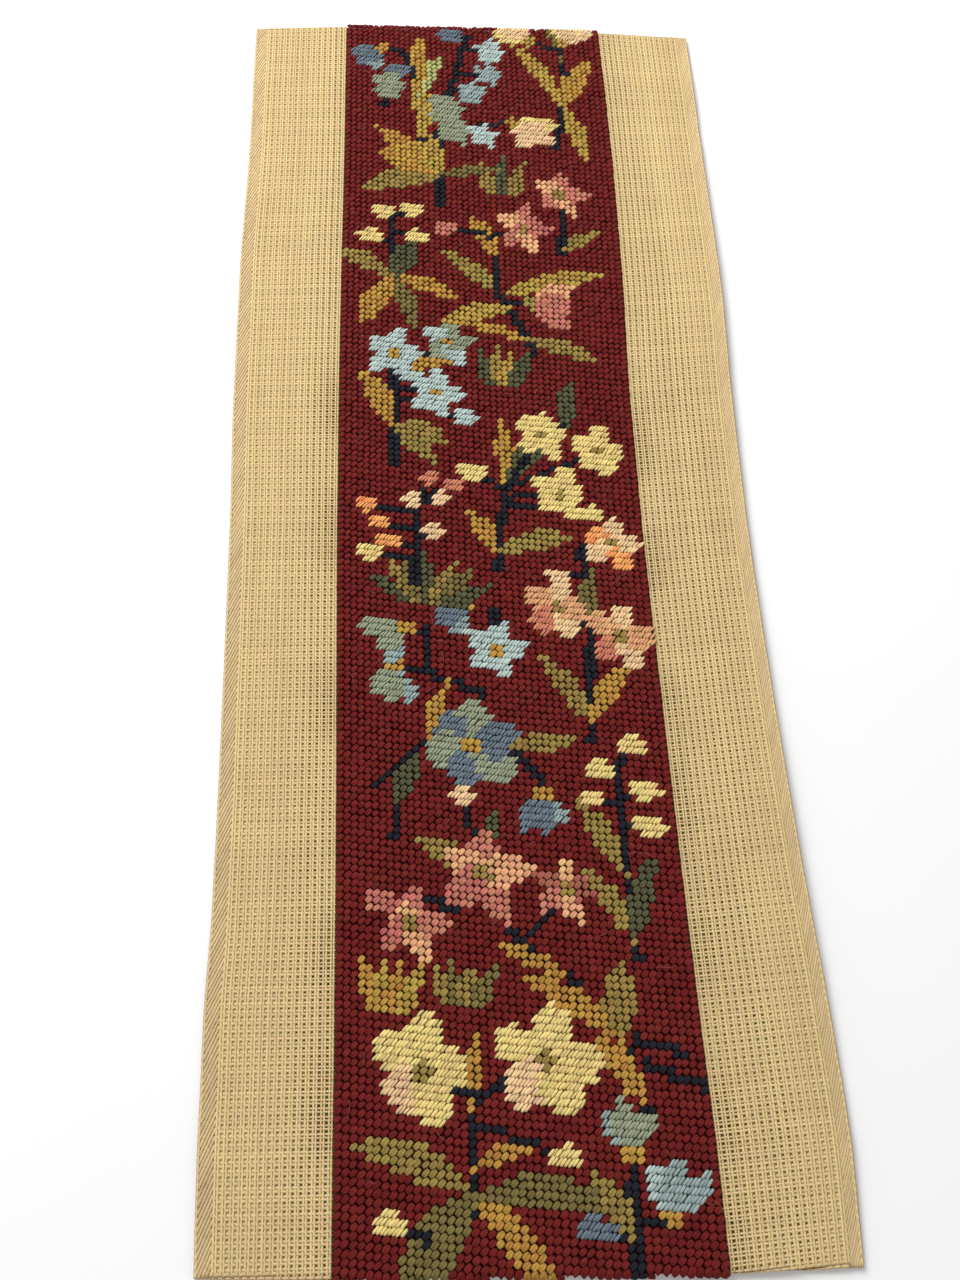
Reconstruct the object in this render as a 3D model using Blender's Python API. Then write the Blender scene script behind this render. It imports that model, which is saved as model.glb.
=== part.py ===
import math

import bmesh
import bpy

# A worked needlepoint strip lying face up. The near end is at -Y, the selvedges run along Y.
# All sizes are in metres. "Along" is counted from the near fold towards the far one.

CANVAS_THICKNESS = 0.0010
FACE_THICKNESS = 0.0012       # wool on the face of the canvas
FACE_EDGE_THICKNESS = 0.0006  # the same wool at the band's two long edges
BACK_THICKNESS = 0.0010       # the stitches' reverse
LAYER_GAP = 0.0003

STRIP_LENGTH = 0.520          # between the folds, at the strip's middle
HEM_LENGTH = 0.030            # bare canvas turned under at each end
HEM_RAMP = 0.030              # where the strip comes down from the hem to its own height
BACK_INSET = 0.003            # the reverse stops short of each fold

# The fold lines aren't quite square to the strip: their Y at the left and right selvedge.
NEAR_FOLD = {"left": 0.0025, "right": -0.0015}
FAR_FOLD = {"left": 0.5210, "right": 0.5070}

# The strip's outline, and how far each selvedge lifts off the surface.
SECTION_COLUMNS = ("along", "left_edge", "band_left", "band_right", "right_edge", "left_lift", "right_lift")
SECTIONS = (
    (0.000, -0.1045, -0.0625, 0.0622, 0.1032, 0.0000, 0.0000),
    (0.040, -0.1053, -0.0625, 0.0617, 0.1050, 0.0003, 0.0012),
    (0.075, -0.1055, -0.0625, 0.0609, 0.1057, 0.0006, 0.0026),
    (0.110, -0.1045, -0.0625, 0.0600, 0.1041, 0.0002, 0.0034),
    (0.150, -0.1043, -0.0627, 0.0588, 0.1007, 0.0000, 0.0036),
    (0.190, -0.1043, -0.0629, 0.0581, 0.0987, 0.0003, 0.0030),
    (0.260, -0.1045, -0.0633, 0.0573, 0.0971, 0.0009, 0.0026),
    (0.315, -0.1056, -0.0630, 0.0573, 0.0974, 0.0005, 0.0034),
    (0.380, -0.1057, -0.0624, 0.0587, 0.0990, 0.0000, 0.0040),
    (0.445, -0.1039, -0.0618, 0.0591, 0.0987, 0.0006, 0.0028),
    (0.520, -0.1031, -0.0612, 0.0579, 0.0986, 0.0000, 0.0000),
)

MARGIN_STEPS = 5
BAND_STEPS = 8
BAND_EDGE_STEP = 0.03         # share of the band's width over which the wool rounds off
BEND_STEPS = 6                # facets of each fold
END_STATIONS = (0.0, 0.015, 0.030, 0.037, 0.045, 0.053, 0.060)
MIDDLE_STEP = 0.025

COLOURS = {
    "canvas": (0.66, 0.51, 0.31),
    "wool_face": (0.14, 0.018, 0.022),
    "wool_back": (0.12, 0.016, 0.020),
}


def ease(t):
    t = min(max(t, 0.0), 1.0)
    return t * t * (3.0 - 2.0 * t)


def column_slopes(name):
    # Slopes at the table's rows, flattened at each turn so that the curve never overshoots a row.
    column = SECTION_COLUMNS.index(name)
    rises = []
    for low, high in zip(SECTIONS, SECTIONS[1:]):
        rises.append((high[column] - low[column]) / (high[0] - low[0]))
    slopes = [rises[0]]
    for before, after in zip(rises, rises[1:]):
        slopes.append(2.0 * before * after / (before + after) if before * after > 0.0 else 0.0)
    slopes.append(rises[-1])
    return slopes


SLOPES = {name: column_slopes(name) for name in SECTION_COLUMNS[1:]}


def section_value(name, along):
    column = SECTION_COLUMNS.index(name)
    along = min(max(along, 0.0), STRIP_LENGTH)
    row = 0
    while row < len(SECTIONS) - 2 and SECTIONS[row + 1][0] < along:
        row += 1
    low, high = SECTIONS[row], SECTIONS[row + 1]
    span = high[0] - low[0]
    t = (along - low[0]) / span
    slopes = SLOPES[name]
    return ((1 + 2 * t) * (1 - t) ** 2 * low[column] + t * (1 - t) ** 2 * span * slopes[row]
            + t * t * (3 - 2 * t) * high[column] + t * t * (t - 1) * span * slopes[row + 1])


def across_columns():
    # Each column is a zone of the cloth and a share of that zone's width, from left to right.
    columns = [("left", step / MARGIN_STEPS) for step in range(MARGIN_STEPS)]
    columns += band_columns()
    columns += [("right", (step + 1) / MARGIN_STEPS) for step in range(MARGIN_STEPS)]
    return columns


def band_columns():
    inner = 1.0 - 2.0 * BAND_EDGE_STEP
    shares = [0.0] + [BAND_EDGE_STEP + inner * step / BAND_STEPS for step in range(BAND_STEPS + 1)] + [1.0]
    return [("band", share) for share in shares]


def across_position(column, along):
    zone, share = column
    ends = {"left": ("left_edge", "band_left"), "band": ("band_left", "band_right"),
            "right": ("band_right", "right_edge")}[zone]
    start, end = section_value(ends[0], along), section_value(ends[1], along)
    return start + (end - start) * share


def fold_y(fold, x):
    # A straight line between the fold's two ends, which lie at the selvedges.
    low, high = section_value("left_edge", 0.0), section_value("right_edge", 0.0)
    share = (x - low) / (high - low)
    return fold["left"] + (fold["right"] - fold["left"]) * share


def canvas_height(column, along):
    # Height of the canvas's middle above the surface that the strip lies on.
    zone, share = column
    band_rest = BACK_THICKNESS + LAYER_GAP
    if zone == "left":
        height = section_value("left_lift", along) * ease(1.0 - share) + band_rest * ease(share)
    elif zone == "right":
        height = section_value("right_lift", along) * ease(share) + band_rest * ease(1.0 - share)
    else:
        height = band_rest
    from_end = min(along, STRIP_LENGTH - along)
    hem_step = CANVAS_THICKNESS + LAYER_GAP
    raised = hem_step * (1.0 - ease((from_end - HEM_LENGTH) / HEM_RAMP))
    return height + raised + CANVAS_THICKNESS / 2.0


def upper_stations():
    stations = list(END_STATIONS)
    last = STRIP_LENGTH - END_STATIONS[-1]
    count = round((last - END_STATIONS[-1]) / MIDDLE_STEP)
    step = (last - END_STATIONS[-1]) / count
    stations += [END_STATIONS[-1] + step * index for index in range(1, count)]
    stations += [STRIP_LENGTH - along for along in reversed(END_STATIONS)]
    return stations


def upper_point(column, along):
    x = across_position(column, along)
    near, far = fold_y(NEAR_FOLD, x), fold_y(FAR_FOLD, x)
    y = near + (far - near) * along / STRIP_LENGTH
    return (x, y, canvas_height(column, along)), (0.0, 1.0)


def bend_point(column, far_end, turn):
    # A half turn from the upper layer, at turn 0, to the hem below it, at turn pi.
    along = STRIP_LENGTH if far_end else 0.0
    outward = 1.0 if far_end else -1.0
    (x, y, top), _ = upper_point(column, along)
    hem = CANVAS_THICKNESS / 2.0
    radius, middle = (top - hem) / 2.0, (top + hem) / 2.0
    point = (x, y + outward * radius * math.sin(turn), middle + radius * math.cos(turn))
    return point, (outward * math.sin(turn), math.cos(turn))


def hem_point(column, far_end, depth):
    along = STRIP_LENGTH if far_end else 0.0
    inward = -1.0 if far_end else 1.0
    (x, y, _), _ = upper_point(column, along)
    return (x, y + inward * depth, CANVAS_THICKNESS / 2.0), (0.0, -1.0)


def bend_row(columns, far_end, step):
    turn = math.pi * step / BEND_STEPS
    return [bend_point(column, far_end, turn) for column in columns]


def layer_rows(columns, alongs, bend_to, with_hem):
    # Rows of points and normals, from under the near fold, over the top, to under the far fold.
    rows = []
    if with_hem:
        rows.append([hem_point(column, False, HEM_LENGTH) for column in columns])
        rows.append([hem_point(column, False, 0.0) for column in columns])
    rows += [bend_row(columns, False, step) for step in range(bend_to, 0, -1)]
    rows += [[upper_point(column, along) for column in columns] for along in alongs]
    rows += [bend_row(columns, True, step) for step in range(1, bend_to + 1)]
    if with_hem:
        rows.append([hem_point(column, True, 0.0) for column in columns])
        rows.append([hem_point(column, True, HEM_LENGTH) for column in columns])
    return rows


def offset_vertex(mesh, point_and_normal, offset):
    (x, y, z), (normal_y, normal_z) = point_and_normal
    return mesh.verts.new((x, y + normal_y * offset, z + normal_z * offset))


def sheet_mesh(rows, inner_offsets, outer_offsets):
    # A closed sheet: the rows' points moved to its inner and outer face, joined round the rim.
    mesh = bmesh.new()
    faces = []
    for offsets in (inner_offsets, outer_offsets):
        faces.append([[offset_vertex(mesh, item, offset) for item, offset in zip(row, offsets)] for row in rows])
    inner, outer = faces
    last_row, last_column = len(rows) - 1, len(rows[0]) - 1
    for row in range(last_row):
        for column in range(last_column):
            corners = ((row, column), (row, column + 1), (row + 1, column + 1), (row + 1, column))
            mesh.faces.new([outer[r][c] for r, c in corners])
            mesh.faces.new([inner[r][c] for r, c in reversed(corners)])
    rim = [(0, column) for column in range(last_column)]
    rim += [(row, last_column) for row in range(last_row)]
    rim += [(last_row, column) for column in range(last_column, 0, -1)]
    rim += [(row, 0) for row in range(last_row, 0, -1)]
    for (r0, c0), (r1, c1) in zip(rim, rim[1:] + rim[:1]):
        mesh.faces.new((inner[r0][c0], inner[r1][c1], outer[r1][c1], outer[r0][c0]))
    bmesh.ops.triangulate(mesh, faces=mesh.faces[:])
    return mesh


def make_material(name):
    material = bpy.data.materials.new(name)
    material.use_nodes = True
    shader = material.node_tree.nodes["Principled BSDF"]
    shader.inputs["Base Color"].default_value = (*COLOURS[name], 1.0)
    shader.inputs["Roughness"].default_value = 0.9
    shader.inputs["Metallic"].default_value = 0.0
    return material


def make_object(name, mesh):
    data = bpy.data.meshes.new(name)
    mesh.to_mesh(data)
    mesh.free()
    data.shade_smooth()
    data.set_sharp_from_angle(angle=math.radians(40))
    data.materials.append(make_material(name))
    sheet = bpy.data.objects.new(name, data)
    bpy.context.scene.collection.objects.link(sheet)
    return sheet


def make_canvas():
    columns = across_columns()
    rows = layer_rows(columns, upper_stations(), BEND_STEPS - 1, True)
    half = CANVAS_THICKNESS / 2.0
    return make_object("canvas", sheet_mesh(rows, [-half] * len(columns), [half] * len(columns)))


def make_wool_face():
    # The needlework runs up to both folds and a quarter turn round them.
    columns = band_columns()
    rows = layer_rows(columns, upper_stations(), BEND_STEPS // 2, False)
    inner = CANVAS_THICKNESS / 2.0 + LAYER_GAP
    outer = [inner + FACE_THICKNESS] * len(columns)
    outer[0] = outer[-1] = inner + FACE_EDGE_THICKNESS
    return make_object("wool_face", sheet_mesh(rows, [inner] * len(columns), outer))


def make_wool_back():
    columns = band_columns()
    alongs = upper_stations()
    alongs[0], alongs[-1] = BACK_INSET, STRIP_LENGTH - BACK_INSET
    rows = layer_rows(columns, alongs, 0, False)
    outer = -(CANVAS_THICKNESS / 2.0 + LAYER_GAP)
    inner = outer - BACK_THICKNESS
    return make_object("wool_back", sheet_mesh(rows, [inner] * len(columns), [outer] * len(columns)))


def centre(sheets):
    # The origin is under the middle of the whole strip's box.
    corners = [vertex.co for sheet in sheets for vertex in sheet.data.vertices]
    shift_x = (min(c.x for c in corners) + max(c.x for c in corners)) / 2.0
    shift_y = (min(c.y for c in corners) + max(c.y for c in corners)) / 2.0
    for sheet in sheets:
        sheet.location = (-shift_x, -shift_y, 0.0)


def main():
    for old in list(bpy.data.objects):
        bpy.data.objects.remove(old, do_unlink=True)
    centre([make_canvas(), make_wool_face(), make_wool_back()])


main()
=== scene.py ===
import math

import bpy
import numpy as np
from mathutils import Matrix, Vector


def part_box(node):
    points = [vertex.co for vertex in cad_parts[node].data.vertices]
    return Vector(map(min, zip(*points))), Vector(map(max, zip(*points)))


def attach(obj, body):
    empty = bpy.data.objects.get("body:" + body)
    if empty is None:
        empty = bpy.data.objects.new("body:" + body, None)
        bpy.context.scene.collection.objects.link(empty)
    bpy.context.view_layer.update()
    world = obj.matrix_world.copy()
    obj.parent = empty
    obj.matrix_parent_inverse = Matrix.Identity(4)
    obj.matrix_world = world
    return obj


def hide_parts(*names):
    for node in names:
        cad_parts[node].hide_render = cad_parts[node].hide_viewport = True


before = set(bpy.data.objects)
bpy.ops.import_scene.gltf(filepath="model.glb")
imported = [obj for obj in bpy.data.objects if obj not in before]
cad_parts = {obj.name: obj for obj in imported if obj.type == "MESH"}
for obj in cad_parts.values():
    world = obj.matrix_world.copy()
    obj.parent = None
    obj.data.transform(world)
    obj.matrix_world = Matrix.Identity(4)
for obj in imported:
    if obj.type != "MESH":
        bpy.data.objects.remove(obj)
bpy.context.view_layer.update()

print("needlepoint strip: frame loaded")

# The strip's own shape, in metres. Along runs from the near fold to the far one.
strip = {
    "length": 0.520,
    "hem": 0.030,
    "hemRamp": 0.030,
    "hemHeight": 0.0005,   # middle of the turned-under layer
    "layerStep": 0.0013,   # one layer's rise: over the hem, and over the wool's reverse
    "nearFold": (0.0025, -0.0015),
    "farFold": (0.5210, 0.5070),
    "canvasHalf": 0.0005,
}

# Distance along, then the left edge, band's two edges, right edge, and how far each edge lifts.
sections = np.array([
    (0.000, -0.1045, -0.0612, 0.0609, 0.1032, 0.0000, 0.0000),
    (0.040, -0.1053, -0.0612, 0.0604, 0.1044, 0.0003, 0.0012),
    (0.075, -0.1055, -0.0612, 0.0594, 0.1032, 0.0006, 0.0026),
    (0.110, -0.1045, -0.0612, 0.0585, 0.1012, 0.0002, 0.0034),
    (0.150, -0.1043, -0.0614, 0.0576, 0.0994, 0.0000, 0.0036),
    (0.190, -0.1043, -0.0616, 0.0569, 0.0982, 0.0003, 0.0030),
    (0.260, -0.1045, -0.0620, 0.0558, 0.0971, 0.0009, 0.0026),
    (0.315, -0.1056, -0.0619, 0.0558, 0.0974, 0.0005, 0.0034),
    (0.380, -0.1057, -0.0614, 0.0575, 0.0990, 0.0000, 0.0040),
    (0.445, -0.1039, -0.0606, 0.0580, 0.0987, 0.0006, 0.0028),
    (0.520, -0.1031, -0.0600, 0.0568, 0.0986, 0.0000, 0.0000),
])
sectionNames = ("along", "leftEdge", "bandLeft", "bandRight", "rightEdge", "leftLift", "rightLift")

# The mesh count: stitches across the band, columns of the bare margins, and one row's height.
mesh = {
    "bandColumns": 48,
    "leftColumns": 17.0,
    "rightColumns": 16.5,
    "rowPitch": 0.002532,
    "firstRow": 0.0017,     # where row 0 starts at the band's left edge
    "bandWidth": 0.121,
    "marginPitch": 0.0025,
    "lowRow": -4,
    "highRow": 214,
}

# How the rows slope, in degrees, for each distance along: the canvas was pulled askew when worked.
rowSlopes = {
    "along": (0.000, 0.250, 0.380, 0.520),
    "leftMargin": (0.5, 1.5, 1.8, 3.0),
    "bandLeftHalf": (8.0, 9.5, 10.0, 10.4),
    "bandRightHalf": (6.4, 7.2, 7.6, 8.0),
    "rightMargin": (-4.0, -2.5, 1.0, 6.0),
}


def ease(share):
    share = np.clip(share, 0, 1)
    return share * share * (3 - 2 * share)


def smoothTable(places, values, wanted):
    # a smooth line through the table that never overshoots its rows
    rises = np.diff(values) / np.diff(places)
    slopes = np.zeros(len(values))
    slopes[0], slopes[-1] = rises[0], rises[-1]
    for k in range(1, len(values) - 1):
        if rises[k - 1] * rises[k] > 0:
            slopes[k] = 2 * rises[k - 1] * rises[k] / (rises[k - 1] + rises[k])
    k = np.clip(np.searchsorted(places, wanted, "right") - 1, 0, len(places) - 2)
    span = places[k + 1] - places[k]
    t = (wanted - places[k]) / span
    return (
        values[k] * (1 + 2 * t) * (1 - t) ** 2
        + slopes[k] * span * t * (1 - t) ** 2
        + values[k + 1] * t * t * (3 - 2 * t)
        + slopes[k + 1] * span * t * t * (t - 1)
    )


fineAlong = np.linspace(0, strip["length"], 521)
fineSection = {
    name: smoothTable(sections[:, 0], sections[:, k], fineAlong)
    for k, name in enumerate(sectionNames)
}


def sectionAt(name, along):
    return np.interp(along, fineAlong, fineSection[name])


def foldAt(name, x):
    left, right = sections[0, 1], sections[0, 4]
    start, end = strip[name]
    return start + (end - start) * (x - left) / (right - left)


def alongAt(x, y):
    near, far = foldAt("nearFold", x), foldAt("farFold", x)
    return np.clip((y - near) / (far - near), 0, 1) * strip["length"]


def clothHeight(x, along):
    # height of the canvas's middle surface above the table, as in the solid model
    leftEdge, bandLeft = sectionAt("leftEdge", along), sectionAt("bandLeft", along)
    bandRight, rightEdge = sectionAt("bandRight", along), sectionAt("rightEdge", along)
    step = strip["layerStep"]
    leftShare = np.clip((x - leftEdge) / (bandLeft - leftEdge), 0, 1)
    rightShare = np.clip((x - bandRight) / (rightEdge - bandRight), 0, 1)
    left = sectionAt("leftLift", along) * ease(1 - leftShare) + step * ease(leftShare)
    right = sectionAt("rightLift", along) * ease(rightShare) + step * ease(1 - rightShare)
    height = np.where(x < bandLeft, left, np.where(x > bandRight, right, step))
    fromEnd = np.minimum(along, strip["length"] - along)
    height = height + step * (1 - ease((fromEnd - strip["hem"]) / strip["hemRamp"]))
    return height + strip["canvasHalf"]


def bendRadius(x, along):
    return (clothHeight(x, along) - strip["hemHeight"]) / 2


acrossFold = np.linspace(sections[0, 1], sections[0, 4], 60)
rawNear = (foldAt("nearFold", acrossFold) - bendRadius(acrossFold, 0.0) - strip["canvasHalf"]).min()
canvasLow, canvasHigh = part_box("canvas")
shiftX = fineSection["leftEdge"].min() - canvasLow.x
shiftY = rawNear - canvasLow.y


def place(x, y, lift):
    # a point of the flat sheet (x, y), lifted off its middle surface, rolled round either fold
    x, y, lift = np.broadcast_arrays(x, y, lift)
    along = alongAt(x, y)
    near, far = foldAt("nearFold", x), foldAt("farFold", x)
    top = clothHeight(x, along)
    radius = (top - strip["hemHeight"]) / 2
    over = np.maximum(near - y, 0) + np.maximum(y - far, 0)
    outward = np.where(y < near, -1.0, 1.0)
    edge = np.where(y < near, near, far)
    turn = np.clip(over / radius, 0, math.pi)
    past = np.maximum(over - math.pi * radius, 0)
    bentY = edge + outward * ((radius + lift) * np.sin(turn) - past)
    bentZ = strip["hemHeight"] + radius + (radius + lift) * np.cos(turn)
    flat = over <= 0
    outY = np.where(flat, y, bentY)
    outZ = np.where(flat, top + lift, bentZ)
    return np.stack([x - shiftX, outY - shiftY, outZ], -1)


def slopeAt(name, along):
    return np.tan(np.radians(np.interp(along, rowSlopes["along"], rowSlopes[name])))


def threadPlace(column, row):
    # flat (x, y) of a place counted in mesh columns and rows, margins and hems included
    column, row = np.broadcast_arrays(np.asarray(column, float), np.asarray(row, float))
    columns = mesh["bandColumns"]
    distance = row * mesh["rowPitch"]
    inBand = np.clip(column, 0, columns) / columns
    drop = slopeAt("bandLeftHalf", distance) * np.minimum(inBand, 0.5)
    drop = drop + slopeAt("bandRightHalf", distance) * np.maximum(inBand - 0.5, 0)
    y = mesh["firstRow"] + distance - drop * mesh["bandWidth"]
    leftOf, rightOf = np.minimum(column, 0), np.maximum(column - columns, 0)
    y = y - slopeAt("leftMargin", distance) * leftOf * mesh["marginPitch"]
    y = y - slopeAt("rightMargin", distance) * rightOf * mesh["marginPitch"]
    x = np.zeros_like(y)
    for k in range(3):
        along = alongAt(x, y)
        bandLeft, bandRight = sectionAt("bandLeft", along), sectionAt("bandRight", along)
        leftEdge, rightEdge = sectionAt("leftEdge", along), sectionAt("rightEdge", along)
        x = bandLeft + (bandRight - bandLeft) * inBand
        x = x + (bandLeft - leftEdge) * leftOf / mesh["leftColumns"]
        x = x + (rightEdge - bandRight) * rightOf / mesh["rightColumns"]
    return x, y


def wobble(column, row, size, seed):
    # slow, seeded unevenness, from -1 to 1
    phase = np.random.default_rng(seed).uniform(0, 6.283, 6)
    total = np.zeros_like(np.asarray(column, float) + np.asarray(row, float))
    for k in range(3):
        across, down = (1.0 + 0.7 * k) / size, (0.6 + 0.55 * k) / size
        total = total + np.sin(column * across + phase[k] + np.sin(row * down + phase[k + 3]) * 1.7)
        total = total + np.sin(row * across * 0.9 + phase[k + 3] + np.sin(column * down) * 1.3)
    return total / 6


# joined meshes, made from many tubes at once

def newBatch():
    return {"points": [], "quads": [], "tris": [], "quadUv": [], "triUv": [],
            "quadItem": [], "triItem": [], "tone": [], "pointCount": 0, "itemCount": 0}


def addTubes(batch, x, y, lift, halfWidth, halfHeight, sides, tone, turn=-math.pi / 2):
    # x, y, lift hold one row for each tube: a tip, the rings, a tip
    count, stations = x.shape
    rings = stations - 2
    alongX, alongY = np.gradient(x, axis=1), np.gradient(y, axis=1)
    size = np.maximum(np.hypot(alongX, alongY), 1e-9)
    sideX, sideY = -alongY / size, alongX / size
    angles = turn + 2 * math.pi * np.arange(sides) / sides
    wide = np.broadcast_to(halfWidth, (count, rings))[..., None] * np.cos(angles)
    high = np.broadcast_to(halfHeight, (count, rings))[..., None] * np.sin(angles)
    ringX = x[:, 1:-1, None] + sideX[:, 1:-1, None] * wide
    ringY = y[:, 1:-1, None] + sideY[:, 1:-1, None] * wide
    ringPoints = place(ringX, ringY, lift[:, 1:-1, None] + high).reshape(count, -1, 3)
    tips = place(x[:, [0, -1]], y[:, [0, -1]], lift[:, [0, -1]])
    points = np.concatenate([ringPoints, tips], 1)
    ring, side = np.meshgrid(np.arange(rings - 1), np.arange(sides), indexing="ij")
    ring, side = ring.ravel(), side.ravel()
    after = (side + 1) % sides
    quads = np.stack([ring * sides + side, ring * sides + after,
                      (ring + 1) * sides + after, (ring + 1) * sides + side], 1)
    u0, u1 = (ring + 1) / (rings + 1), (ring + 2) / (rings + 1)
    v0, v1 = side / sides, (side + 1) / sides
    quadUv = np.stack([np.stack([u0, v0], 1), np.stack([u0, v1], 1),
                       np.stack([u1, v1], 1), np.stack([u1, v0], 1)], 1)
    side = np.arange(sides)
    after = (side + 1) % sides
    lastRing, startTip = (rings - 1) * sides, rings * sides
    startTris = np.stack([np.full(sides, startTip), after, side], 1)
    endTris = np.stack([np.full(sides, startTip + 1), lastRing + side, lastRing + after], 1)
    inner, outer = np.full(sides, 1 / (rings + 1)), np.full(sides, rings / (rings + 1))
    v0, v1, middle = side / sides, (side + 1) / sides, (side + 0.5) / sides
    startUv = np.stack([np.stack([inner * 0, middle], 1), np.stack([inner, v1], 1),
                        np.stack([inner, v0], 1)], 1)
    endUv = np.stack([np.stack([inner * 0 + 1, middle], 1), np.stack([outer, v0], 1),
                      np.stack([outer, v1], 1)], 1)
    tris, triUv = np.concatenate([startTris, endTris]), np.concatenate([startUv, endUv])
    each = rings * sides + 2
    offsets = batch["pointCount"] + np.arange(count)[:, None, None] * each
    items = batch["itemCount"] + np.arange(count)
    batch["points"].append(points.reshape(-1, 3))
    batch["quads"].append((quads[None] + offsets).reshape(-1, 4))
    batch["tris"].append((tris[None] + offsets).reshape(-1, 3))
    batch["quadUv"].append(np.tile(quadUv, (count, 1, 1)))
    batch["triUv"].append(np.tile(triUv, (count, 1, 1)))
    batch["quadItem"].append(np.repeat(items, len(quads)))
    batch["triItem"].append(np.repeat(items, len(tris)))
    batch["tone"].append(np.repeat(tone, each))
    batch["pointCount"] += count * each
    batch["itemCount"] += count


def makePiece(name, batch, material, stretch=1.0):
    # stretch says how much longer than wide each tube's cell of the colour map is
    points, tone = np.concatenate(batch["points"]), np.concatenate(batch["tone"])
    quads, tris = np.concatenate(batch["quads"]), np.concatenate(batch["tris"])
    data = bpy.data.meshes.new(name)
    data.vertices.add(len(points))
    data.vertices.foreach_set("co", points.astype(np.float32).ravel())
    corners = np.concatenate([quads.ravel(), tris.ravel()]).astype(np.int32)
    data.loops.add(len(corners))
    data.loops.foreach_set("vertex_index", corners)
    triStarts = len(quads) * 4 + np.arange(len(tris)) * 3
    starts = np.concatenate([np.arange(len(quads)) * 4, triStarts]).astype(np.int32)
    data.polygons.add(len(starts))
    data.polygons.foreach_set("loop_start", starts)
    data.update(calc_edges=True)
    data.shade_smooth()
    quadUv, triUv = np.concatenate(batch["quadUv"]), np.concatenate(batch["triUv"])
    strand = np.concatenate([quadUv.reshape(-1, 2), triUv.reshape(-1, 2)])
    item = np.concatenate([np.repeat(np.concatenate(batch["quadItem"]), 4),
                           np.repeat(np.concatenate(batch["triItem"]), 3)])
    cellsAcross = max(1, int(math.sqrt(batch["itemCount"] / stretch)))
    cellsUp = math.ceil(batch["itemCount"] / cellsAcross)
    gutter = 0.08
    cell = np.stack([item % cellsAcross, item // cellsAcross], 1)
    atlas = (cell + gutter + strand * (1 - 2 * gutter)) / np.array([cellsAcross, cellsUp])
    data.uv_layers.new(name="OFBake").data.foreach_set("uv", atlas.astype(np.float32).ravel())
    data.uv_layers.new(name="strand").data.foreach_set("uv", strand.astype(np.float32).ravel())
    toneLayer = data.attributes.new("tone", "FLOAT", "POINT")
    toneLayer.data.foreach_set("value", tone.astype(np.float32))
    data.materials.append(material)
    piece = bpy.data.objects.new(name, data)
    bpy.context.scene.collection.objects.link(piece)
    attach(piece, "root")
    return piece


def linear(red, green, blue):
    # a colour as seen on screen, 0 to 255, as the shader wants it
    values = [c / 255 for c in (red, green, blue)]
    return tuple(c / 12.92 if c <= 0.04045 else ((c + 0.055) / 1.055) ** 2.4 for c in values) + (1.0,)


# small helpers for shader trees

def addNode(tree, kind, **settings):
    node = tree.nodes.new(kind)
    for key, value in settings.items():
        setattr(node, key, value)
    return node


def feed(tree, socket, value):
    if isinstance(value, bpy.types.NodeSocket):
        tree.links.new(value, socket)
    else:
        socket.default_value = value


def mathNode(tree, operation, *values):
    node = addNode(tree, "ShaderNodeMath", operation=operation)
    for socket, value in zip(node.inputs, values):
        feed(tree, socket, value)
    return node.outputs[0]


def mixColor(tree, share, first, second, blend="MIX"):
    node = addNode(tree, "ShaderNodeMix", data_type="RGBA", blend_type=blend)
    feed(tree, node.inputs["Factor"], share)
    feed(tree, node.inputs[6], first)
    feed(tree, node.inputs[7], second)
    return node.outputs[2]


def mapRange(tree, value, fromLow, fromHigh, toLow, toHigh):
    node = addNode(tree, "ShaderNodeMapRange")
    for socket, wanted in zip(node.inputs, (value, fromLow, fromHigh, toLow, toHigh)):
        feed(tree, socket, wanted)
    return node.outputs[0]


def noiseNode(tree, vector, scale, detail=2.0, roughness=0.5):
    node = addNode(tree, "ShaderNodeTexNoise")
    feed(tree, node.inputs["Vector"], vector)
    for name, value in (("Scale", scale), ("Detail", detail), ("Roughness", roughness)):
        feed(tree, node.inputs[name], value)
    return node.outputs["Fac"]


def newGroup(name, inputs, outputs):
    group = bpy.data.node_groups.new(name, "ShaderNodeTree")
    for label, kind in inputs:
        group.interface.new_socket(label, in_out="INPUT", socket_type=kind)
    for label, kind in outputs:
        group.interface.new_socket(label, in_out="OUTPUT", socket_type=kind)
    return group, addNode(group, "NodeGroupInput"), addNode(group, "NodeGroupOutput")


floatKind, colorKind, vectorKind = "NodeSocketFloat", "NodeSocketColor", "NodeSocketVector"


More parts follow.
